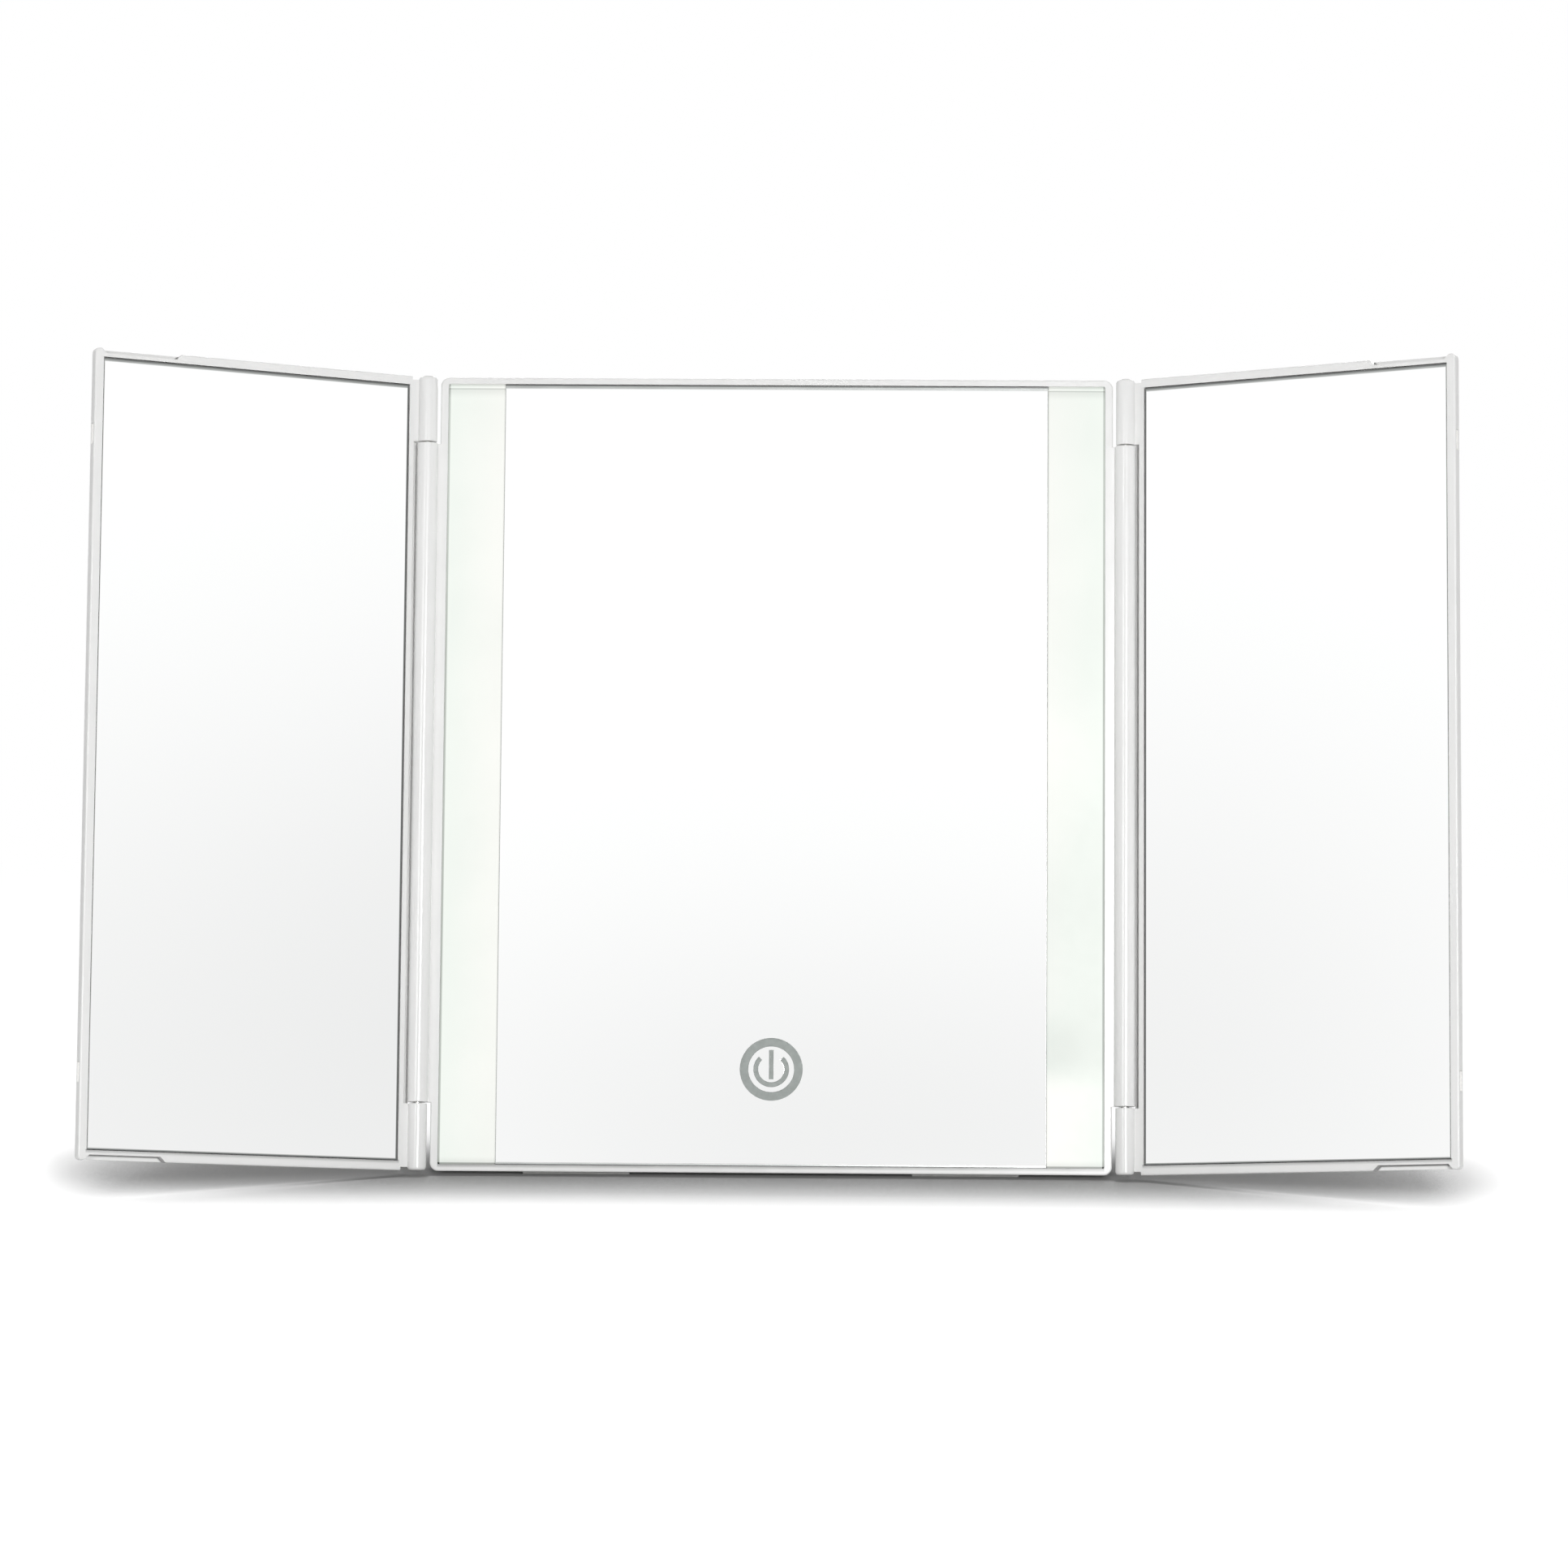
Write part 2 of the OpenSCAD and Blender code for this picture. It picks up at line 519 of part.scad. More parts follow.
module stand_leg() color("White") leg_space() difference() {
  slab(-leg_thickness / 2, leg_thickness / 2)
    round_rect(-leg_width / 2, leg_width / 2, -leg_length + 2.2, heel, 2, 2);
  for (s = [-1, 1]) rod([s * 29.9, 0, 0], [s * (leg_width / 2 + 1), 0, 0], stand_pin + 0.02);
}
module stand_pins() color("Silver") leg_space()
  for (s = [-1, 1]) rod([s * 30, 0, 0], [s * (leg_width / 2 + 6), 0, 0], stand_pin);

// Rubber foot of the kickstand; its lower face lies on the table at rest.
module stand_foot() color("Gainsboro") leg_space() translate([-leg_width / 2 + 2, 0, 0])
  rotate([90, 0, 90]) linear_extrude(height = leg_width - 4) {
    t = leg_thickness / 2;
    k = t * tan(leg_angle);
    polygon([[-t, -leg_length + 2.2], [-t, -leg_length + k], [t, -leg_length - k],
             [t, -leg_length + 2.2]]);
  }

center_frame();
back_cover();
center_mirror();
center_adhesive();
left_light_window();
right_light_window();
touch_icon();
touch_sensor();
touch_lead();
left_led_board();
right_led_board();
left_leds();
right_leds();
left_led_leads();
right_led_leads();
control_board();
board_chips();
board_screws();
charging_shell();
charging_tongue();
battery();
battery_leads();
cover_screws();
front_feet();
left_hinge_sleeves();
right_hinge_sleeves();
left_wing_frame();
left_wing_back();
left_wing_mirror();
left_wing_adhesive();
left_wing_magnets();
left_hinge_pins();
right_wing_frame();
right_wing_back();
right_wing_mirror();
right_wing_adhesive();
right_wing_magnets();
right_hinge_pins();
stand_leg();
stand_pins();
stand_foot();
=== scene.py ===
import math

import bmesh
import bpy
from mathutils import Matrix, Vector


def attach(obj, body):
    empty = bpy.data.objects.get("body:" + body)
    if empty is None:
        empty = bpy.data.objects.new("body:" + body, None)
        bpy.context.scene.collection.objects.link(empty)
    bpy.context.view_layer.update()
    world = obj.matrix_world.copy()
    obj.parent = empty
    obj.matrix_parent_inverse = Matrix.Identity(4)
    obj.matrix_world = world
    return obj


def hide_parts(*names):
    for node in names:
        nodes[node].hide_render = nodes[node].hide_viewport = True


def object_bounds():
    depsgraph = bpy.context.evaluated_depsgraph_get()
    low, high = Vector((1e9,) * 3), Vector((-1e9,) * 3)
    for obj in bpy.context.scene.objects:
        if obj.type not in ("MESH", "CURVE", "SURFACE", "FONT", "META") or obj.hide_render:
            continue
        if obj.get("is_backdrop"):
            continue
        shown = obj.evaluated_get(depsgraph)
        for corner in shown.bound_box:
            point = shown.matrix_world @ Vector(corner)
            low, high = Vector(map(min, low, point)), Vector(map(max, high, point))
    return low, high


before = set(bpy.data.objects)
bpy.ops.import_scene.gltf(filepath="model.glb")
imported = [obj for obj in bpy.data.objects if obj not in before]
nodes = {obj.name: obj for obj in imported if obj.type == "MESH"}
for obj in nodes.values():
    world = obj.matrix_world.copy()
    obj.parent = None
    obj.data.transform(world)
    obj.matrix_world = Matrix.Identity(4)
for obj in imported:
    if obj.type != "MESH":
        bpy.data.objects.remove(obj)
cad_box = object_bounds()

# ---- Centre housing ------------------------------------------------------------------------
# The housing is one white ABS moulding: bezel, side walls, light troughs and the long middle
# barrels of both hinges. It leaves the tool with a satin skin. The lip under the mirror is
# painted grey, a painted shade.

LEAN = math.radians(15)
SHIFT_Y = -0.015194
FOOT_HEIGHT = 0.0014
SAME_POINT = 2e-7
FLAT_TURN = math.radians(0.4)
SHARP_TURN = math.radians(30)
HOUSING_EDGE = 0.0003


class Field:
    """A value or colour that varies over a finish; arithmetic on it adds Math nodes."""

    tree = None

    def __init__(self, socket):
        self.socket = socket

    @classmethod
    def node(cls, kind, settings=None, inputs=None, out=0):
        """One node: its settings are set first, then its inputs; the asked output comes back."""
        made = cls.tree.nodes.new(kind)
        for name, value in (settings or {}).items():
            setattr(made, name, value)
        for name, value in (inputs or {}).items():
            if isinstance(value, Field):
                cls.tree.links.new(value.socket, made.inputs[name])
            else:
                made.inputs[name].default_value = value
        return cls(made.outputs[out])

    def math(self, operation, a, b=0.0):
        return Field.node("ShaderNodeMath", {"operation": operation}, {0: a, 1: b})

    def __add__(self, other):
        return self.math("ADD", self, other)

    def __radd__(self, other):
        return self.math("ADD", other, self)

    def __sub__(self, other):
        return self.math("SUBTRACT", self, other)

    def __rsub__(self, other):
        return self.math("SUBTRACT", other, self)

    def __mul__(self, other):
        return self.math("MULTIPLY", self, other)

    def __rmul__(self, other):
        return self.math("MULTIPLY", other, self)

    def low(self, other):
        return self.math("MINIMUM", self, other)

    def high(self, other):
        return self.math("MAXIMUM", self, other)

    def size(self):
        return self.math("ABSOLUTE", self)

    def root(self):
        return self.math("SQRT", self)

    def vector(self, operation, other=(0, 0, 0), out=0):
        """Vector Math, which keeps the colour where a Math node would turn it grey."""
        settings = {"operation": operation}
        return Field.node("ShaderNodeVectorMath", settings, {0: self, 1: other}, out=out)

    def step(self, start, end, first=0.0, last=1.0):
        """Smooth change from first to last as the value goes from start to end."""
        return Field.node(
            "ShaderNodeMapRange",
            {"interpolation_type": "SMOOTHSTEP"},
            {"Value": self, "From Min": start, "From Max": end, "To Min": first, "To Max": last},
        )


def new_finish(name, roughness, **sockets):
    """A material and its shader; the numbers that are the same all over go on its sockets."""
    material = bpy.data.materials.new(name)
    material.use_nodes = True
    shader = material.node_tree.nodes["Principled BSDF"]
    shader.inputs["Roughness"].default_value = roughness
    for socket, value in sockets.items():
        shader.inputs[socket.replace("_", " ")].default_value = value
    Field.tree = material.node_tree
    return material, shader


def feed(shader, socket, field):
    Field.tree.links.new(field.socket, shader.inputs[socket])


def millimetres(turn=(0, 0, 0), at=(0, 0, 0), of=None):
    """Object coordinates in millimetres, moved and turned into a piece's own space."""
    place = of or Field.node("ShaderNodeTexCoord", out="Object")
    scale = (1, 1, 1) if of else (0.001, 0.001, 0.001)
    return Field.node(
        "ShaderNodeMapping",
        {"vector_type": "TEXTURE"},
        {"Vector": place, "Location": at, "Rotation": turn, "Scale": scale},
    )


def panel_space():
    """X right, Y depth behind the bezel's face, Z up along the centre panel."""
    return millimetres((-LEAN, 0, 0), (0, SHIFT_Y, FOOT_HEIGHT))


def axes(place, wanted):
    """The wanted coordinates of a place, such as "XZ"."""
    return [Field.node("ShaderNodeSeparateXYZ", None, {0: place}, out=axis) for axis in wanted]


def grain(space, scale, detail=2.0, roughness=0.5):
    return Field.node(
        "ShaderNodeTexNoise",
        {"noise_dimensions": "3D"},
        {"Vector": space, "Scale": scale, "Detail": detail, "Roughness": roughness},
    )


def tint(amount, light, dark):
    """Colour between dark and light by amount; both may vary themselves."""
    dark, light = [c if isinstance(c, Field) else (*c, 1) for c in (dark, light)]
    return Field.node("ShaderNodeMix", {"data_type": "RGBA"}, {0: amount, 6: dark, 7: light}, out=2)


def bumped(shader, height, distance, strength=1.0):
    """Raises the surface by height, a field from 0 to 1, times distance in metres."""
    normal = Field.node(
        "ShaderNodeBump", None, {"Height": height, "Distance": distance, "Strength": strength}
    )
    feed(shader, "Normal", normal)


def moulded_white(name, light, dark, roughness, depth, shade=None):
    """Satin ABS: a faint cloudiness in the colour, uneven gloss and the fine skin of the tool.
    Where shade is 1, the plastic is painted grey, a little unevenly, as painted shade."""
    material, shader = new_finish(name, roughness, IOR=1.5)
    space = millimetres()
    cloud = grain(space, 0.035, 3.0, 0.6)
    handled = grain(space, 0.11, 4.0, 0.65)
    skin = grain(space, 1.6, 2.0, 0.5) * 0.2 + grain(space, 0.06, 1.0, 0.4)
    colour = tint(cloud.step(0.35, 0.65), light, dark)
    if shade:
        # Painted shade: the colour is greyed where shade() is 1.
        painted_shade_mask = shade() * grain(space, 0.05, 2.0).step(0.35, 0.65, 0.8, 1.0)
        colour = colour.vector("MULTIPLY", 1 - painted_shade_mask)
    feed(shader, "Base Color", colour)
    feed(shader, "Roughness", handled.step(0.3, 0.7, roughness - 0.04, roughness + 0.05))
    bumped(shader, skin, depth)
    return material


def softened(name, mesh, node, body, edge, segments=2):
    """Turns a mesh into a finished piece of a body, in place of its CAD node."""
    mesh.shade_smooth()
    mesh.set_sharp_from_angle(angle=SHARP_TURN)
    piece = bpy.data.objects.new(name, mesh)
    bpy.context.scene.collection.objects.link(piece)
    if edge:
        soften = piece.modifiers.new("edges", "BEVEL")
        soften.width = edge
        soften.segments = segments
        soften.limit_method = "ANGLE"
        soften.angle_limit = SHARP_TURN
    even = piece.modifiers.new("flat faces", "WEIGHTED_NORMAL")
    even.keep_sharp = True
    shown = piece.evaluated_get(bpy.context.evaluated_depsgraph_get())
    piece.data = bpy.data.meshes.new_from_object(shown)
    piece.modifiers.clear()
    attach(piece, body)
    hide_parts(node)


def dressed(node, name, body, material, edge=0.00012, segments=2):
    """A merged copy of a CAD node, with its sharp edges rounded as a mould leaves them."""
    work = bmesh.new()
    work.from_mesh(nodes[node].data)
    bmesh.ops.remove_doubles(work, verts=work.verts, dist=SAME_POINT)
    bmesh.ops.dissolve_limit(work, angle_limit=FLAT_TURN, verts=work.verts, edges=work.edges)
    mesh = bpy.data.meshes.new(name)
    work.to_mesh(mesh)
    work.free()
    mesh.materials.append(material)
    softened(name, mesh, node, body, edge, segments)


def between(value, start, end, soft=0.06):
    """One where the value lies between start and end, with soft borders."""
    return value.step(start - soft, start + soft) * value.step(end - soft, end + soft, 1.0, 0.0)


def lip_shade(left, right, base, space=panel_space):
    """Painted shade on the narrow lip under a mirror, from base up."""
    x, z = axes(space(), "XZ")
    rise = z - base
    return between(x, left, right, 0.25) * rise.step(0.0, 1.25) * rise.step(1.3, 1.5, 0.55, 0.0)


TONES = (0.90, 0.90, 0.892), (0.88, 0.88, 0.872)
# The housing's lip under the mirror gets painted shade.
white = moulded_white("white_abs", *TONES, 0.22, 0.000004, lambda: lip_shade(-99.2, 99.2, 0.8))
dressed("center_frame", "centre_housing", "center", white, HOUSING_EDGE, 3)

# ---- Back cover ----------------------------------------------------------------------------
# The cover is a second ABS moulding, screwed in from behind. Its outer face and the recess of
# the kickstand have a finely eroded texture, so it is duller than the housing.

eroded = moulded_white("eroded_abs", (0.89, 0.89, 0.882), (0.87, 0.87, 0.862), 0.42, 0.00001)
dressed("back_cover", "back_cover_shell", "center", eroded, HOUSING_EDGE, 3)

# ---- Mirrors -------------------------------------------------------------------------------
# Each mirror is float glass, silvered behind. Along the border a thin dark line and a grey band
# are painted: partly the cut edge and the dark backing paint, partly painted shade of the gap and
# a painted reflection of the bezel, widest at the top.

SIDES = ((-1, "left"), (1, "right"))
CENTRE_GLASS = (-82.0, 82.0, 2.15, 237.95)
WING_GLASS = (5.85, 102.15, 3.05, 237.25)
WING_FOLD = math.radians(25.4)
HINGE_X = 105.3
HINGE_FORWARD = 0.6


def wing_space(side):
    """X out from the hinge axis, Y depth behind the wing's face, Z up; side is -1 or 1."""
    inner = panel_space()
    turned = millimetres((0, 0, -side * WING_FOLD), (side * HINGE_X, -HINGE_FORWARD, 0), inner)
    return millimetres((0, 0, 0), (0, HINGE_FORWARD, 0), turned)


def silvered(name, space, borders, dark, grey):
    """Mirror finish with dark and grey border lines of painted shade and reflection; all three are
    left, right, low and top.
    """
    material, shader = new_finish(name, 0.015, Metallic=1.0, IOR=1.5)
    place = space()
    x, z = axes(place, "XZ")
    left, right, low, top = borders
    gaps = (x - left, right - x, z - low, top - z)
    past = []
    for widths in (dark, grey):
        inward = [gap * (1 / width) for gap, width in zip(gaps, widths)]
        past.append(inward[0].low(inward[1]).low(inward[2]).low(inward[3]))
    uneven = grain(place, 0.07, 2.0).step(0.3, 0.7, 0.35, 0.5)
    # Painted shade and reflection: a grey band, then a dark line, along the borders.
    border = tint(uneven, (0.62, 0.635, 0.625), (0.2, 0.21, 0.205))
    silver = tint(past[1].step(0.75, 1.1), (0.955, 0.96, 0.957), border)
    edge = tint(past[0].step(0.8, 1.15), silver, (0.17, 0.175, 0.172))
    smear = grain(place, 0.02, 3.0, 0.6).step(0.45, 0.75)
    feed(shader, "Base Color", edge)
    feed(shader, "Roughness", smear * 0.01 + past[1].step(0.8, 1.0, 0.2, 0.0) + 0.004)
    return material


centre_silver = silvered(
    "centre_silver", panel_space, CENTRE_GLASS, (0.05, 0.05, 0.2, 0.5), (0.2, 0.2, 0.7, 1.3)
)
dressed("center_mirror", "centre_mirror_glass", "center", centre_silver, 0.0001)
for side, name in SIDES:
    ends = sorted(side * end for end in WING_GLASS[:2])
    dark, grey = [outer_inner[::-side] for outer_inner in ((0.12, 0.5), (0.3, 0.55))]
    wing_silver = silvered(
        name + "_wing_silver",
        lambda: wing_space(side),
        (*ends, *WING_GLASS[2:]),
        (*dark, 0.3, 0.55),
        (*grey, 0.6, 1.15),
    )
    glass = name + "_wing_glass"
    dressed(name + "_wing_mirror", glass, name + "_wing", wing_silver, 0.0001)

# ---- Light windows -------------------------------------------------------------------------
# Opal acrylic strips over the light troughs, flush mounted and lit from behind. They are
# whitest towards the mirror and turn faintly green towards the cut edges.

WINDOW_LOW = 2.2
WINDOW_TOP = 237.8
DIM_SPOT = (83.0, 1.0, 37.0)


def lit_opal(name, side):
    """Glowing finish; rim is the shade along the borders, drift the slow change of brightness."""
    material, shader = new_finish(
        name, 0.3, IOR=1.49, Specular_IOR_Level=0.2, Emission_Strength=0.765
    )
    place = panel_space()
    x, z = axes(place, "XZ")
    across, low, top = x * side, z - WINDOW_LOW, WINDOW_TOP - z
    rim = between(top, -1.0, 0.42) * 0.22 + between(top, 1.0, 1.38) * 0.32
    rim = rim + top.step(1.3, 4.2, 0.13, 0.0) * top.step(1.3, 1.45)
    rim = rim + low.step(0.0, 2.6, 0.15, 0.0) + between(low, -1.0, 0.45) * 0.5
    rim = rim + between(across, 98.6, 101.0) * low.step(120.0, 225.0, 0.48, 0.36)
    rim = rim + between(across, 80.0, 82.4) * 0.07
    drift = grain(place, 0.02, 2.0, 0.5).step(0.3, 0.7, -0.03, 0.02)
    drift = drift - place.vector("DISTANCE", DIM_SPOT, out="Value").step(2.0, 15.0, 0.06, 0.0)
    if side > 0:
        drift = drift - z.step(24, 35) * z.step(38, 58, 0.1, 0.05) * z.step(82, 118, 1.0, 0.1)
    inward = (98.0 - across) * 0.0625
    glow = tint((inward + drift * 8).low(1).high(0), (0.985, 0.99, 0.94), (0.905, 0.96, 0.895))
    level = 1 - rim + drift
    feed(shader, "Emission Color", glow.vector("MULTIPLY", level))
    feed(shader, "Base Color", tint(level.step(0.6, 1.0), (0.2, 0.205, 0.2), (0.13, 0.14, 0.13)))
    feed(shader, "Roughness", grain(place, 0.3, 2.0).step(0.3, 0.7, 0.29, 0.35))
    bumped(shader, grain(place, 0.3, 1.0), 0.000002)
    return material


for side, name in SIDES:
    opal = lit_opal(name + "_opal", side)
    dressed(name + "_light_window", name + "_opal_window", "center", opal, 0.0002)

# ---- Touch mark ----------------------------------------------------------------------------
# Ring, open arc and bar where the silvering is left out, so the grey diffuser film behind the
# glass shows. The film is matt under the polished face.

film, shader = new_finish("touch_film", 0.22, IOR=1.5)
space = panel_space()
blotch = grain(space, 1.4, 3.0).step(0.3, 0.7)
feed(shader, "Base Color", tint(blotch, (0.325, 0.355, 0.34), (0.305, 0.335, 0.32)))
feed(shader, "Roughness", grain(space, 0.8, 2.0).step(0.3, 0.7, 0.18, 0.26))
dressed("touch_icon", "touch_mark", "center", film, 0)

# ---- Wing frames and wing backs ------------------------------------------------------------
# Each wing has a front frame with the two end knuckles and the ramped finger recesses, and a
# back shell glued to it. Both are the housing's ABS.

PANEL_HEIGHT = 240
RECESS_START = 78.1
RECESS_END = 103.0
RECESS_HEIGHT = 1.6


def recess_shade(side, depth, strong):
    """Painted shade: a dark line along the ceiling and ramps of a wing's finger recesses,
    from depth on.
    """
    x, y, z = axes(wing_space(side), "XYZ")
    rise = z.low(PANEL_HEIGHT - z)
    from_ramp = (x * side - RECESS_START).low(RECESS_END - x * side) - rise
    inward = (from_ramp * 0.7).low(RECESS_HEIGHT - rise)
    line = inward.step(0.05, 0.6, 1.0, 0.0) * inward.step(-0.35, -0.2)
    return strong * line * y.step(depth, depth + 0.1)


def wing_shade(side):
    """Painted shade on the lip of a wing's frame and the front edge of its recesses."""
    ends = sorted((5.4 * side, 102.6 * side))
    return lip_shade(*ends, 1.75, lambda: wing_space(side)).high(recess_shade(side, 0.3, 0.6))


for side, name in SIDES:
    wing = name + "_wing"
    # Frame and flange get painted shade along the lips and the finger recesses.
    shell = moulded_white(wing + "_abs", *TONES, 0.22, 0.000004, lambda: wing_shade(side))
    dressed(wing + "_frame", name + "_front_frame", wing, shell, 0.00025)
    flange = moulded_white(
        name + "_flange_abs", *TONES, 0.34, 0.000006, lambda: recess_shade(side, 2.7, 0.75)
    )
    dressed(wing + "_back", name + "_back_shell", wing, flange)

# ---- Closing magnets and hinge pins --------------------------------------------------------
# The magnets are nickel plated blocks, flush in the outer sides. The pins are drawn steel rod,
# and only a glint of them shows in the gap between knuckle and barrel.

nickel, shader = new_finish("nickel_plate", 0.3, Metallic=1.0)
space = millimetres()
cloud = grain(space, 0.9, 3.0).step(0.3, 0.7)
feed(shader, "Base Color", tint(cloud, (0.83, 0.82, 0.80), (0.76, 0.75, 0.73)))
feed(shader, "Roughness", grain(space, 3.0, 3.0).step(0.3, 0.7, 0.24, 0.38))
bumped(shader, grain(space, 5.0, 2.0), 0.00001, 0.2)

drawn, shader = new_finish("drawn_steel", 0.28, Metallic=1.0)
space = panel_space()
stretched = Field.node("ShaderNodeMapping", None, {"Vector": space, "Scale": (6, 6, 0.15)})
lines = grain(stretched, 1.0, 3.0)
feed(shader, "Base Color", tint(lines.step(0.3, 0.7), (0.66, 0.655, 0.64), (0.5, 0.495, 0.485)))
feed(shader, "Roughness", lines.step(0.3, 0.7, 0.2, 0.36))
bumped(shader, lines, 0.00001, 0.3)
for side in ("left", "right"):
    wing = side + "_wing"
    dressed(wing + "_magnets", side + "_magnet_blocks", wing, nickel, 0.0001)
    dressed(side + "_hinge_pins", side + "_hinge_rods", wing, drawn, 0.0002)

# ---- Kickstand -----------------------------------------------------------------------------
# A flat ABS plate on two steel pins, with a soft rubber foot bonded to its lower end. At rest
# its heel stands against the floor of the pocket in the back cover.

dressed("stand_leg", "kickstand_plate", "stand", eroded, 0.0004, 3)
dressed("stand_pins", "kickstand_rods", "stand", drawn, 0.0001)

rubber, shader = new_finish("foot_rubber", 0.62, IOR=1.45, Specular_IOR_Level=0.35)
space = millimetres()
cloud = grain(space, 0.4, 4.0).step(0.3, 0.7)
feed(shader, "Base Color", tint(cloud, (0.60, 0.60, 0.585), (0.52, 0.52, 0.505)))
feed(shader, "Roughness", grain(space, 1.6, 2.0).step(0.3, 0.7, 0.55, 0.7))
bumped(shader, grain(space, 3.2, 3.0), 0.00004, 0.5)
dressed("stand_foot", "kickstand_foot", "stand", rubber, 0.0002)
dressed("front_feet", "front_foot_pads", "center", rubber, 0.0002)

# ---- Inner pieces --------------------------------------------------------------------------
# These lie behind the mirrors and the cover. Their solids are right as they are, so each only
# gets the finish of the real one.


def inner_finish(name, light, dark, roughness, scale, lift):
    material, shader = new_finish(name, roughness)
    speckle = grain(panel_space(), scale, 3.0)
    feed(shader, "Base Color", tint(speckle.step(0.35, 0.65), light, dark))
    feed(shader, "Roughness", speckle.step(0.3, 0.7, roughness - 0.05, roughness + 0.06))
    bumped(shader, speckle, lift, 0.4)
    return material


def refinished(names, finish):
    """Gives CAD nodes the finish of the real pieces."""
    for node in names.split():
        nodes[node].data.materials.clear()
        nodes[node].data.materials.append(finish)


foam = inner_finish("grey_foam", (0.36, 0.36, 0.36), (0.26, 0.26, 0.26), 0.85, 3.0, 0.00008)
refinished("center_adhesive left_wing_adhesive right_wing_adhesive", foam)
strip = inner_finish("white_mask", (0.86, 0.87, 0.85), (0.78, 0.79, 0.77), 0.42, 1.2, 0.00001)
refinished("left_led_board right_led_board", strip)
mask = inner_finish("green_mask", (0.03, 0.22, 0.09), (0.015, 0.13, 0.05), 0.3, 0.8, 0.00002)
refinished("control_board", mask)
amber = inner_finish("polyimide", (0.66, 0.31, 0.06), (0.5, 0.21, 0.03), 0.35, 0.5, 0.00001)
refinished("touch_sensor touch_lead", amber)
epoxy = inner_finish("black_epoxy", (0.035, 0.035, 0.037), (0.02, 0.02, 0.021), 0.48, 4.0, 0.00002)
refinished("board_chips charging_tongue", epoxy)
jacket = inner_finish("red_jacket", (0.5, 0.05, 0.04), (0.38, 0.03, 0.025), 0.45, 1.0, 0.00001)
refinished("left_led_leads right_led_leads battery_leads", jacket)
foil = inner_finish("pouch_foil", (0.55, 0.56, 0.58), (0.42, 0.43, 0.45), 0.4, 0.15, 0.0001)
refinished("battery", foil)
nylon = inner_finish("nylon", (0.78, 0.73, 0.58), (0.68, 0.63, 0.48), 0.5, 1.5, 0.00002)
refinished("left_hinge_sleeves right_hinge_sleeves", nylon)
refinished("board_screws charging_shell", drawn)

# ---- Light chips ---------------------------------------------------------------------------
# Each strip carries a row of white ceramic chips with a yellow phosphor pool in the face. They
# are soldered to the board at one even pitch.


def new_tree(name, sizes):
    """A Geometry Nodes tree with named inputs, which are returned as fields."""
    tree = bpy.data.node_groups.new(name, "GeometryNodeTree")
    tree.interface.new_socket("Geometry", in_out="OUTPUT", socket_type="NodeSocketGeometry")
    kinds = {int: "NodeSocketInt", float: "NodeSocketFloat", tuple: "NodeSocketVector"}
    for label, value in sizes.items():
        kind = kinds.get(type(value), "NodeSocketMaterial")
        tree.interface.new_socket(label, in_out="INPUT", socket_type=kind)
    Field.tree = tree
    source = tree.nodes.new("NodeGroupInput")
    return tree, [Field(source.outputs[label]) for label in sizes]


def joined(*parts):
    """Joins geometry fields into one."""
    made = Field.tree.nodes.new("GeometryNodeJoinGeometry")
    for part in parts:
        Field.tree.links.new(part.socket, made.inputs[0])
    return Field(made.outputs[0])


def combined(x=0.0, y=0.0, z=0.0):
    return Field.node("ShaderNodeCombineXYZ", None, {"X": x, "Y": y, "Z": z})


def moved(part, x=0.0, y=0.0, z=0.0):
    place = combined(x, y, z)
    return Field.node("GeometryNodeTransform", None, {"Geometry": part, "Translation": place})


def block(x, y, z):
    return Field.node("GeometryNodeMeshCube", None, {"Size": combined(x, y, z)})


def planted(points, part):
    """The part at each point, as one real mesh."""
    inputs = {"Points": points, "Instance": part}
    copies = Field.node("GeometryNodeInstanceOnPoints", None, inputs)
    return Field.node("GeometryNodeRealizeInstances", None, {"Geometry": copies})


def painted(part, material):
    return Field.node("GeometryNodeSetMaterial", None, {"Geometry": part, "Material": material})


def cut(part, *tools):
    """The part without the tools."""
    made = Field.tree.nodes.new("GeometryNodeMeshBoolean")
    made.operation, made.solver = "DIFFERENCE", "EXACT"
    Field.tree.links.new(part.socket, made.inputs["Mesh 1"])
    for tool in tools:
        Field.tree.links.new(tool.socket, made.inputs["Mesh 2"])
    return Field(made.outputs["Mesh"])


def grown(tree, geometry, name, sizes):
    """Runs the tree with the given sizes; its plain mesh is put from panel space into the frame."""
    output = tree.nodes.new("NodeGroupOutput")
    tree.links.new(geometry.socket, output.inputs["Geometry"])
    holder = bpy.data.objects.new(name + "_holder", bpy.data.meshes.new(name + "_holder"))
    bpy.context.scene.collection.objects.link(holder)
    modifier = holder.modifiers.new("grow", "NODES")
    modifier.node_group = tree
    for item in tree.interface.items_tree:
        if item.in_out == "INPUT":
            modifier[item.identifier] = sizes[item.name]
    shown = holder.evaluated_get(bpy.context.evaluated_depsgraph_get())
    mesh = bpy.data.meshes.new_from_object(shown)
    holder.modifiers.remove(modifier)
    bpy.data.objects.remove(holder)
    if mesh.materials[0] is None:
        mesh.materials.pop(index=0)
    mesh.transform(PANEL_PLACE)
    return mesh


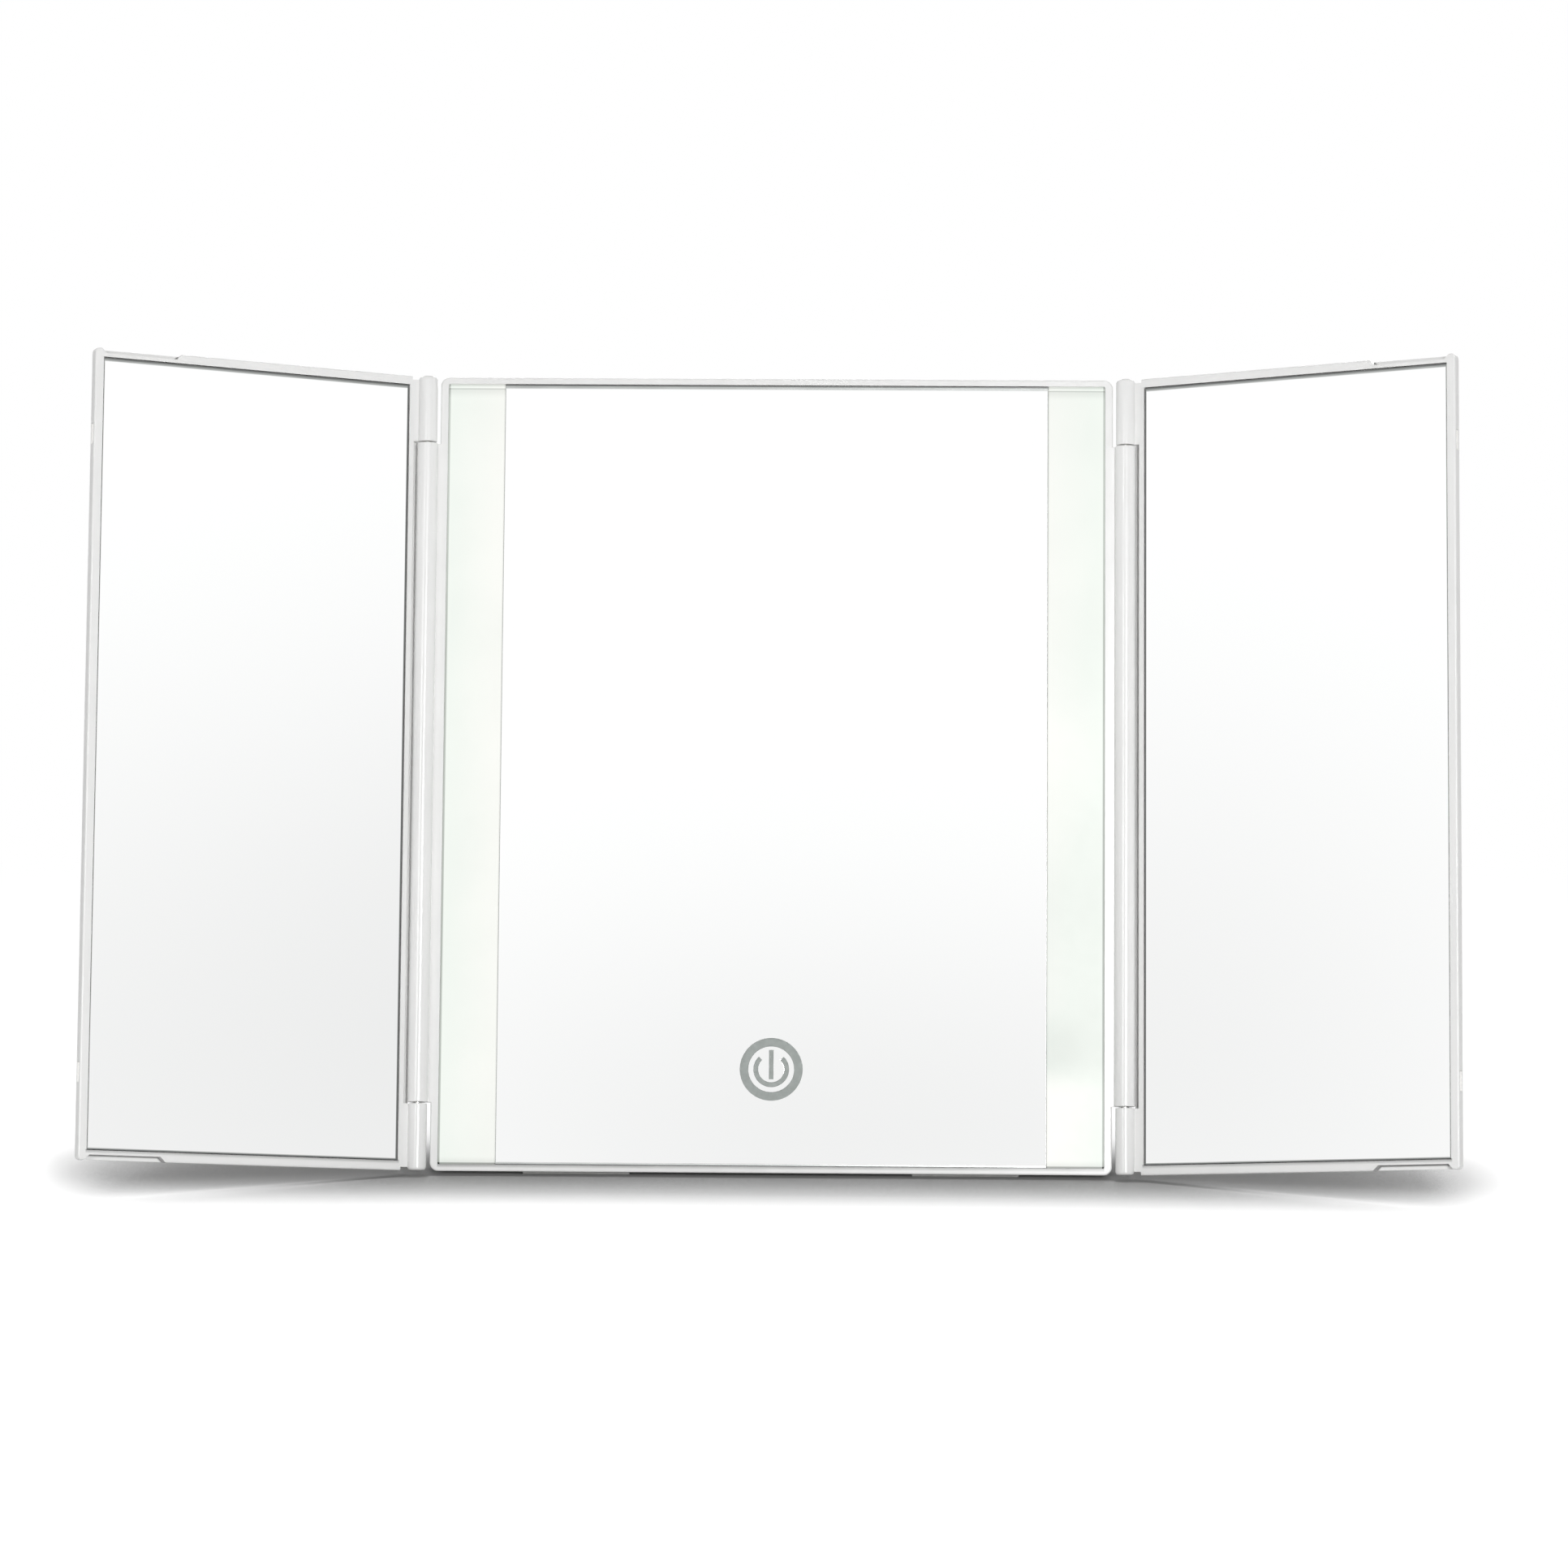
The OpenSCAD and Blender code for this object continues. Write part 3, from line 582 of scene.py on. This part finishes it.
PANEL_PLACE = Matrix.Translation((0, SHIFT_Y, FOOT_HEIGHT)) @ Matrix.Rotation(-LEAN, 4, "X")
CHIPS = 22
ROW_LENGTH = 0.2
ROW_MIDDLE = 0.12
ceramic = inner_finish("chip_ceramic", (0.9, 0.9, 0.88), (0.84, 0.84, 0.82), 0.38, 2.0, 0.00001)
phosphor = inner_finish("phosphor", (0.92, 0.80, 0.36), (0.84, 0.70, 0.26), 0.38, 2.0, 0.00002)
for side, name in SIDES:
    sizes = {
        "Chips": CHIPS,
        "Pitch": ROW_LENGTH / CHIPS,
        "Middle": side * 0.0907,
        "Depth": 0.0076,
        "Width": 0.0028,
        "Height": 0.0035,
        "Thickness": 0.0008,
        "Ceramic": ceramic,
        "Phosphor": phosphor,
    }
    tree, inputs = new_tree(name + "_chip_row", sizes)
    count, pitch, middle, depth, width, height, thick, shell, pool = inputs
    line = Field.node("GeometryNodeMeshLine", None, {"Count": count, "Offset": combined(z=pitch)})
    body = block(width, thick, height)
    well = moved(block(width * 0.74, thick, height * 0.78), 0.0, thick * -0.8)
    fill = moved(block(width * 0.74, thick * 0.5, height * 0.78), 0.0, thick * -0.1)
    chip = joined(painted(cut(body, well), shell), painted(fill, pool))
    placed = moved(line, middle, depth, ROW_MIDDLE - pitch * (count - 1) * 0.5)
    mesh = grown(tree, planted(placed, chip), name + "_chips", sizes)
    softened(name + "_light_chips", mesh, name + "_leds", "center", 0.00008)

# ---- Cover screws --------------------------------------------------------------------------
# Six countersunk steel screws hold the back cover: two columns of three, with cross recesses.

sizes = {
    "Column Gap": 0.148,
    "Row Gap": 0.106,
    "Lowest": 0.015,
    "Depth": 0.01195,
    "Head Radius": 0.00205,
    "Shank Radius": 0.00095,
    "Head Height": 0.0011,
    "Length": 0.0055,
    "Steel": drawn,
}
tree, inputs = new_tree("cover_screw_grid", sizes)
columns, rows, lowest, depth, head, shank, rise, length, steel = inputs
grid = Field.node(
    "GeometryNodeMeshGrid",
    None,
    {"Size X": columns, "Size Y": rows * 2, "Vertices X": 2, "Vertices Y": 3},
)
cone = Field.node(
    "GeometryNodeMeshCone",
    None,
    {"Vertices": 48, "Radius Top": shank, "Radius Bottom": head, "Depth": rise},
)
rod = Field.node(
    "GeometryNodeMeshCylinder",
    None,
    {"Vertices": 32, "Radius": shank, "Depth": length - rise},
)
tip = Field.node(
    "GeometryNodeMeshCone",
    None,
    {"Vertices": 24, "Radius Top": 0.0001, "Radius Bottom": 0.00055, "Depth": 0.0009},
)
arm, web, recess_depth = head * 1.15, head * 0.2, 0.0011
recess = [block(arm, web, recess_depth), block(web, arm, recess_depth), tip]
screw = joined(cut(cone, *recess), moved(rod, z=(length + rise) * 0.5))
screws = painted(planted(grid, screw), steel)
quarter_turn = (math.radians(90), 0, 0)
upright = Field.node(
    "GeometryNodeTransform", None, {"Geometry": screws, "Rotation": quarter_turn}
)
placed = moved(upright, 0.0, depth, lowest + rows)
mesh = grown(tree, placed, "cover_screws", sizes)
softened("cover_screw_heads", mesh, "cover_screws", "center", 0.00004)

# ---- Camera --------------------------------------------------------------------------------
# Seen from 1.8 m with a long lens, a little above the table and to the right of the middle.

SENSOR = 36
IMAGE_WIDTH = 1932
FOCAL_PIXELS = 7400.0
STANDPOINT = (0.035816, -1.786027, -0.103323)

camera_data = bpy.data.cameras.new("camera")
camera_data.sensor_width = SENSOR
camera_data.sensor_fit = "HORIZONTAL"
camera_data.lens = SENSOR * FOCAL_PIXELS / IMAGE_WIDTH
camera_data.clip_start, camera_data.clip_end = 0.05, 50
camera = bpy.data.objects.new("camera", camera_data)
yaw, pitch, roll = (math.radians(a) for a in (-1.048, 7.020, 0.459))
ahead = Vector((math.sin(yaw) * math.cos(pitch), math.cos(yaw) * math.cos(pitch), math.sin(pitch)))
right = ahead.cross(Vector((0, 0, 1))).normalized()
up = right.cross(ahead)
right, up = (
    right * math.cos(roll) + up * math.sin(roll),
    up * math.cos(roll) - right * math.sin(roll),
)
turn = Matrix((right, up, -ahead)).transposed().to_4x4()
camera.matrix_world = PANEL_PLACE @ Matrix.Translation(STANDPOINT) @ turn
bpy.context.scene.collection.objects.link(camera)
bpy.context.scene.camera = camera

# ---- Studio --------------------------------------------------------------------------------
# A pale floor in a white room. Soft lamps stand in front, at both sides and behind, so that the
# shadows of the panels run together in one band. Where the object closes off the sky the paper's
# own colour is darkened, a painted shadow, because the lamps alone leave that band too pale.

FLOOR_LIT = 0.30
FLOOR_PLAIN = 0.62
WHITE = (1, 1, 1, 1)

floor_mesh = bpy.data.meshes.new("floor")
work = bmesh.new()
bmesh.ops.create_grid(work, x_segments=1, y_segments=1, size=3.0)
work.to_mesh(floor_mesh)
work.free()
floor = bpy.data.objects.new("floor", floor_mesh)
floor.location = (0, 0, -0.00002)
bpy.context.scene.collection.objects.link(floor)
floor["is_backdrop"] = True
paper, shader = new_finish("paper", 0.9, Specular_IOR_Level=0.0, Emission_Strength=0.7)
x, y = axes(Field.node("ShaderNodeTexCoord", out="Object"), "XY")
# Past an oval round the object the paper is plain white to the eye. Inside it the paper keeps
# its shadow, lifted towards white, except where it is both close to the object and closed off from
# the sky: there the lift is left out, a painted shadow.
far = (x * x * 0.384 + y * y).root().step(FLOOR_LIT, FLOOR_PLAIN)
beside = (x.size() - 0.19).high(0) * 1.7
away = (beside * beside + (y + 0.008) * (y + 0.008)).root().step(0.008, 0.062)
open_sky = Field.node("ShaderNodeAmbientOcclusion", {"samples": 12}, {"Distance": 0.2}, out="AO")
clear = away.high(open_sky.step(0.62, 0.95))
# Painted shadow: the paper's own colour darkens where the object closes off the sky.
feed(shader, "Base Color", open_sky.step(0.5, 0.78, 0.36, 0.82))


def view_rays():
    """Rays from the camera, off gloss and through glass. What only they see lights nothing."""
    kinds = ("Camera", "Glossy", "Transmission")
    return [Field.node("ShaderNodeLightPath", out=f"Is {kind} Ray") for kind in kinds]


camera_ray, glossy_ray, through_ray = view_rays()
shown = camera_ray.high(glossy_ray).high(through_ray)
feed(shader, "Emission Color", shown * clear)
near = Field(shader.outputs[0])
plain = Field.node("ShaderNodeEmission", None, {"Color": WHITE, "Strength": 1.0})
ground = Field.node("ShaderNodeMixShader", None, {0: far * shown, 1: near, 2: plain})
paper_nodes = paper.node_tree
paper_nodes.links.new(ground.socket, paper_nodes.nodes["Material Output"].inputs["Surface"])
floor_mesh.materials.append(paper)

world = bpy.data.worlds.new("room")
world.use_nodes = True
bpy.context.scene.world = world
Field.tree = world.node_tree
for old in list(world.node_tree.nodes):
    world.node_tree.nodes.remove(old)
camera_ray, glossy_ray, through_ray = view_rays()
direction = Field.node("ShaderNodeTexCoord", out="Generated")


def dim_patch(azimuth, height, depth, size, flat):
    """Soft dim patch of the wall that the mirrors show; azimuth 0 is behind the camera."""
    a, h = math.radians(azimuth), math.radians(height)
    middle = (math.sin(a) * math.cos(h), -math.cos(a) * math.cos(h), math.sin(h))
    offset = direction.vector("SUBTRACT", middle).vector("MULTIPLY", (flat, flat, 1))
    return offset.vector("LENGTH", out="Value").step(0.0, size, depth, 0.0)


dim = dim_patch(-0.3, 18.6, 0.131, 0.062, 0.42).high(dim_patch(61, 14.5, 0.253, 0.111, 0.2))
dim = dim.high(dim_patch(-50.5, 14.0, 0.127, 0.095, 0.8))
room = Field.node("ShaderNodeBackground", None, {"Color": WHITE, "Strength": 0.1})
white_room = Field.node("ShaderNodeBackground", None, {"Color": WHITE, "Strength": 1.0})
mirrored = Field.node("ShaderNodeBackground", None, {"Color": 1.05 - dim, "Strength": 1.0})
first_bounce = Field.node("ShaderNodeLightPath", out="Diffuse Depth").step(0.4, 0.6, 1.0, 0.0)
clear_ray = glossy_ray.high(through_ray) * first_bounce
lit = Field.node("ShaderNodeMixShader", None, {0: clear_ray, 1: room, 2: mirrored})
backdrop = Field.node("ShaderNodeMixShader", None, {0: camera_ray, 1: lit, 2: white_room})
output = world.node_tree.nodes.new("ShaderNodeOutputWorld")
world.node_tree.links.new(backdrop.socket, output.inputs["Surface"])


def soft_lamp(name, azimuth, height, distance, width, length, watts):
    """Rectangular lamp that faces the mirrors; azimuth 0 is behind the camera."""
    a, h = math.radians(azimuth), math.radians(height)
    data = bpy.data.lights.new(name, "AREA")
    data.shape = "RECTANGLE"
    data.size, data.size_y = width, length
    data.energy = watts
    lamp = bpy.data.objects.new(name, data)
    aim = Vector((0, 0, 0.12))
    way = Vector((math.sin(a) * math.cos(h), -math.cos(a) * math.cos(h), math.sin(h)))
    lamp.location = aim + distance * way
    lamp.rotation_mode = "QUATERNION"
    lamp.rotation_quaternion = (lamp.location - aim).to_track_quat("Z", "Y")
    bpy.context.scene.collection.objects.link(lamp)


soft_lamp("front_lamp", 12, 15, 2.3, 0.34, 0.7, 26)
soft_lamp("front_left_lamp", -24, 20, 2.3, 0.3, 0.6, 8)
soft_lamp("left_lamp", -92, 27, 2.0, 0.5, 0.5, 4.2)
soft_lamp("right_lamp", 92, 27, 2.0, 0.5, 0.5, 4.2)
soft_lamp("low_rear_lamp", 178, 6, 2.6, 1.4, 0.3, 12)
soft_lamp("high_rear_lamp", 180, 66, 2.6, 1.6, 0.35, 13)
bpy.context.scene.view_settings.view_transform = "Standard"

# ---- Sizes ---------------------------------------------------------------------------------
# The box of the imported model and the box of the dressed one, for comparing the two.

boxes = {"cad": cad_box, "visual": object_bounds()}
sizes = {k: [[float(c) for c in corner] for corner in v] for k, v in boxes.items()}
